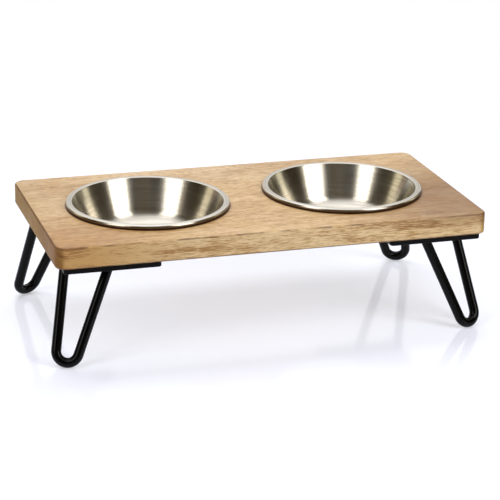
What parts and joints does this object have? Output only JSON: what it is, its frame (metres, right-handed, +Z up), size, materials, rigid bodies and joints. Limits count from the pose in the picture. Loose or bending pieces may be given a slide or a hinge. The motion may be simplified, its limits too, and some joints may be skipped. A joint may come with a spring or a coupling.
{
  "type": "cat bowl stand",
  "caption": "Low wooden board on bent-rod hairpin legs that holds lift-out brushed steel feeding bowls above the floor.",
  "frame": {"origin": "on the floor, under the middle of the board", "axes": "+X along the board's long side, +Y from the front to the back, +Z up"},
  "size_m": [0.4062, 0.2064, 0.1184],
  "materials": {
    "wood": "oiled, satin",
    "bowl_steel": "brushed round the axis",
    "black_coat": "satin powder coat",
    "screw": "black oxide"
  },
  "bodies": {
    "stand": {"board": "wood", "front_left_leg_plate": "black_coat", "front_right_leg_plate": "black_coat", "rear_left_leg_plate": "black_coat", "rear_right_leg_plate": "black_coat", "front_left_hairpin_rod": "black_coat", "front_right_hairpin_rod": "black_coat", "rear_left_hairpin_rod": "black_coat", "rear_right_hairpin_rod": "black_coat", "front_left_weld_beads": "black_coat", "front_right_weld_beads": "black_coat", "rear_left_weld_beads": "black_coat", "rear_right_weld_beads": "black_coat", "front_left_plate_screws": "screw", "front_right_plate_screws": "screw", "rear_left_plate_screws": "screw", "rear_right_plate_screws": "screw"},
    "left_bowl": {"bowl_left": "bowl_steel"},
    "right_bowl": {"bowl_right": "bowl_steel"}
  },
  "joints": [
    {"name": "left_bowl_lift", "type": "slide", "parent": "stand", "child": "left_bowl", "axis": [0, 0, 1], "range_m": [0, 0.06]},
    {"name": "right_bowl_lift", "type": "slide", "parent": "stand", "child": "right_bowl", "axis": [0, 0, 1], "range_m": [0, 0.06]}
  ]
}
